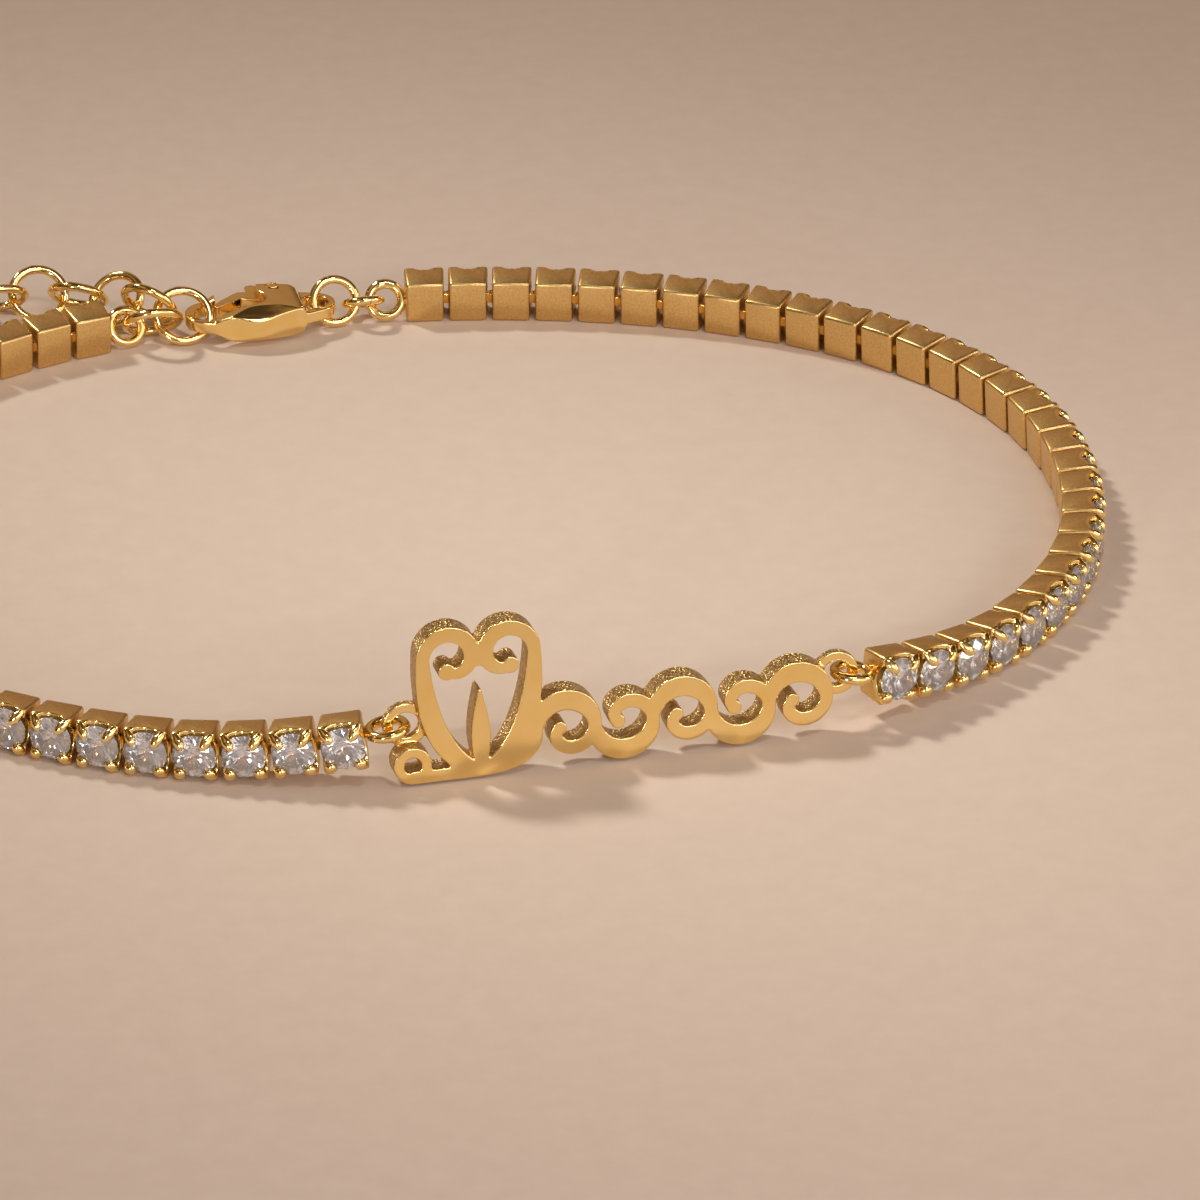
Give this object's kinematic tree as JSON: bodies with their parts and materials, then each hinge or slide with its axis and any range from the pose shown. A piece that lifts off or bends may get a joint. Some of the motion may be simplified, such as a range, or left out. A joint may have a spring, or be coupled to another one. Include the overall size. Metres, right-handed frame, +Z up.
{
  "type": "nameplate bracelet",
  "caption": "Bracelet of hinged rows of stone-set box links, an openwork flourish nameplate, a spring clasp and an extension chain, lying in a closed loop.",
  "frame": {"origin": "middle of the whole piece in plan, on the surface it lies on", "axes": "+X along the nameplate to its right as it is read, +Y away from the reader, +Z up"},
  "size_m": [0.0654, 0.0534, 0.0075],
  "materials": {
    "gold": "polished yellow gold with satin walls",
    "stone": "clear faceted brilliant"
  },
  "bodies": {
    "bracelet": {"nameplate": "gold", "right_settings": "gold", "right_stones": "stone", "left_settings": "gold", "left_stones": "stone", "small_jump_ring": "gold", "large_jump_ring": "gold", "clasp_body": "gold", "clasp_pin": "gold", "extension_chain": "gold"},
    "lever": {"clasp_lever": "gold"}
  },
  "joints": [
    {"name": "clasp_lever_turn", "type": "hinge", "parent": "bracelet", "child": "lever", "pos_m": [-0.00223, 0.02187, 0.00102], "axis": [0, 0, 1], "range_deg": [0, 18], "stiffness_Nm_per_rad": 0.004, "springref_deg": -17.19}
  ]
}
